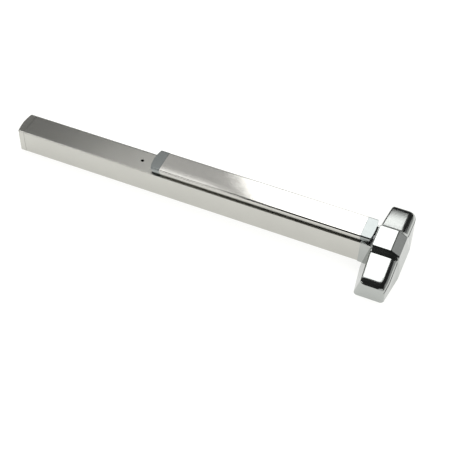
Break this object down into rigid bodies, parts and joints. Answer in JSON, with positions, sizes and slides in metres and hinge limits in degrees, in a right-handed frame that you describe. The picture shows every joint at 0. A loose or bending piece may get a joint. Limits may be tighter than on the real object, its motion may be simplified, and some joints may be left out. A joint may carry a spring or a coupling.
{
  "type": "panic exit bar",
  "caption": "Touch-bar panic exit device: push bar in a long channel case, sloping lock-side head cover, hex-key dogging and lock hub.",
  "frame": {"origin": "middle of the device's back, on the plane of the door's face", "axes": "+X along the device towards the lock-side head, +Z out from the door, +Y upward on a door with the head on its right-hand edge"},
  "size_m": [0.8654, 0.224, 0.074],
  "materials": {
    "satin_aluminium": "satin, fine extrusion grain",
    "brushed_stainless": "brushed lengthwise",
    "satin_chrome": "satin chrome plate on a die casting",
    "cap_grey": "satin lacquer",
    "zinc_steel": "zinc plated",
    "dark_steel": "hardened, oiled",
    "spring_steel": "drawn wire",
    "black_rubber": "matte",
    "white_nylon": "moulded"
  },
  "bodies": {
    "case_and_head": {"mechanism_case": "satin_aluminium", "cover_plate": "satin_aluminium", "end_cap": "satin_aluminium", "end_cap_bracket": "zinc_steel", "end_cap_screw_1": "zinc_steel", "end_cap_screw_2": "zinc_steel", "end_foot_screw": "zinc_steel", "base_rail": "zinc_steel", "rail_screw_1": "zinc_steel", "rail_screw_2": "zinc_steel", "crank_clevis_left": "zinc_steel", "crank_clevis_right": "zinc_steel", "crank_pivot_pin_left": "dark_steel", "crank_pivot_pin_right": "dark_steel", "return_spring_left": "spring_steel", "return_spring_right": "spring_steel", "spring_post_left": "dark_steel", "spring_post_right": "dark_steel", "stop_bumper_left": "black_rubber", "stop_bumper_right": "black_rubber", "rod_guide": "white_nylon", "dogging_bracket": "zinc_steel", "dogging_foot_screw": "zinc_steel", "chassis_plate": "zinc_steel", "tongue_screw_1": "zinc_steel", "tongue_screw_2": "zinc_steel", "slide_guide_upper": "zinc_steel", "slide_guide_lower": "zinc_steel", "head_cover": "satin_chrome", "cover_screw_1": "zinc_steel", "cover_screw_2": "zinc_steel"},
    "push_bar": {"touch_pad_skin": "brushed_stainless", "pad_extrusion": "satin_aluminium", "pad_end_cap_left": "cap_grey", "pad_end_cap_right": "cap_grey", "pad_cap_screw_left": "zinc_steel", "pad_cap_screw_right": "zinc_steel", "dogging_tab": "zinc_steel", "pad_bracket_left": "zinc_steel", "pad_bracket_right": "zinc_steel", "pad_bracket_screw_left": "zinc_steel", "pad_bracket_screw_right": "zinc_steel", "pad_glide_left_upper": "white_nylon", "pad_glide_left_lower": "white_nylon", "pad_glide_right_upper": "white_nylon", "pad_glide_right_lower": "white_nylon"},
    "left_crank": {"bell_crank_left": "zinc_steel", "bar_pin_left": "dark_steel", "rod_pin_left": "dark_steel"},
    "right_crank": {"bell_crank_right": "zinc_steel", "bar_pin_right": "dark_steel", "rod_pin_right": "dark_steel"},
    "pull_rod": {"pull_rod": "zinc_steel", "slide_link_pin": "dark_steel", "retractor_slide": "zinc_steel"},
    "lock_hub": {"lock_hub": "dark_steel", "hub_drive_pin": "dark_steel"},
    "dogging": {"dogging_screw": "dark_steel", "dogging_hook": "dark_steel"}
  },
  "joints": [
    {"name": "bar_press", "type": "slide", "parent": "case_and_head", "child": "push_bar", "axis": [0, 0, -1], "range_m": [0, 0.012], "stiffness_N_per_m": 1500, "springref_m": -0.02, "deforming": ["return_spring_left", "return_spring_right"]},
    {"name": "left_crank_turn", "type": "hinge", "parent": "case_and_head", "child": "left_crank", "pos_m": [-0.00675, 0, 0.02], "axis": [0, -1, 0], "range_deg": [0, 28.95]},
    {"name": "right_crank_turn", "type": "hinge", "parent": "case_and_head", "child": "right_crank", "pos_m": [0.27725, 0, 0.02], "axis": [0, -1, 0], "range_deg": [0, 28.95]},
    {"name": "rod_pull", "type": "slide", "parent": "case_and_head", "child": "pull_rod", "axis": [-1, 0, 0], "range_m": [0, 0.012]},
    {"name": "hub_turn", "type": "hinge", "parent": "case_and_head", "child": "lock_hub", "pos_m": [0.40725, 0, 0.006], "axis": [0, 0, -1], "range_deg": [0, 44.05]},
    {"name": "dogging_turn", "type": "hinge", "parent": "case_and_head", "child": "dogging", "pos_m": [-0.14575, 0, 0.04], "axis": [0, 0, 1], "range_deg": [0, 90]}
  ],
  "couplings": [
    {"joint": "left_crank_turn", "follows": "bar_press", "rad_per_m": 42.113},
    {"joint": "right_crank_turn", "follows": "bar_press", "rad_per_m": 42.113},
    {"joint": "rod_pull", "follows": "bar_press", "ratio": 1},
    {"joint": "hub_turn", "follows": "bar_press", "rad_per_m": 64.066}
  ]
}
